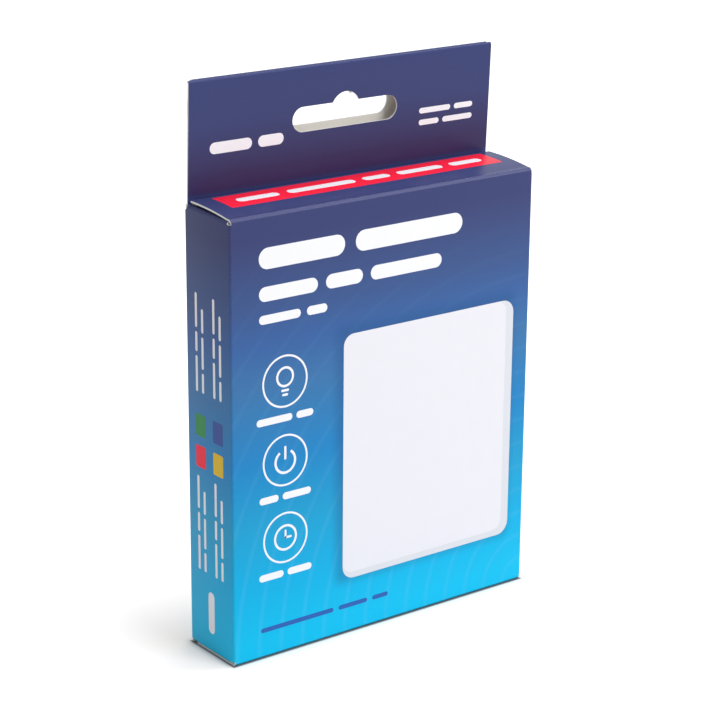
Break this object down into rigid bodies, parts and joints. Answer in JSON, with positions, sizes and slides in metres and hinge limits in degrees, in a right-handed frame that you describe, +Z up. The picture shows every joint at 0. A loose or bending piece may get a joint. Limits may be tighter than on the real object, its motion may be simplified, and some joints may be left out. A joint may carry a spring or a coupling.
{
  "type": "hang-tab folding carton",
  "caption": "Slim upright retail carton of printed board with a euro-hole hang tab at the back and hinged tuck lids at the top and bottom.",
  "frame": {"origin": "centre of the carton's bottom face, midway between the front and back panels", "axes": "+Z up towards the hang tab, front panel faces -Y, +X to the right seen from the front"},
  "size_m": [0.092, 0.022, 0.1415],
  "materials": {
    "printed_board": "varnished print outside, uncoated grey-white inside"
  },
  "bodies": {
    "carton": {"carton_body": "printed_board"},
    "top_lid": {"top_lid": "printed_board"},
    "bottom_lid": {"bottom_lid": "printed_board"}
  },
  "joints": [
    {"name": "top_lid_hinge", "type": "hinge", "parent": "carton", "child": "top_lid", "pos_m": [0, -0.0087, 0.11205], "axis": [1, 0, 0], "range_deg": [0, 180]},
    {"name": "bottom_lid_hinge", "type": "hinge", "parent": "carton", "child": "bottom_lid", "pos_m": [0, -0.0087, -0.00005], "axis": [-1, 0, 0], "range_deg": [0, 180]}
  ]
}
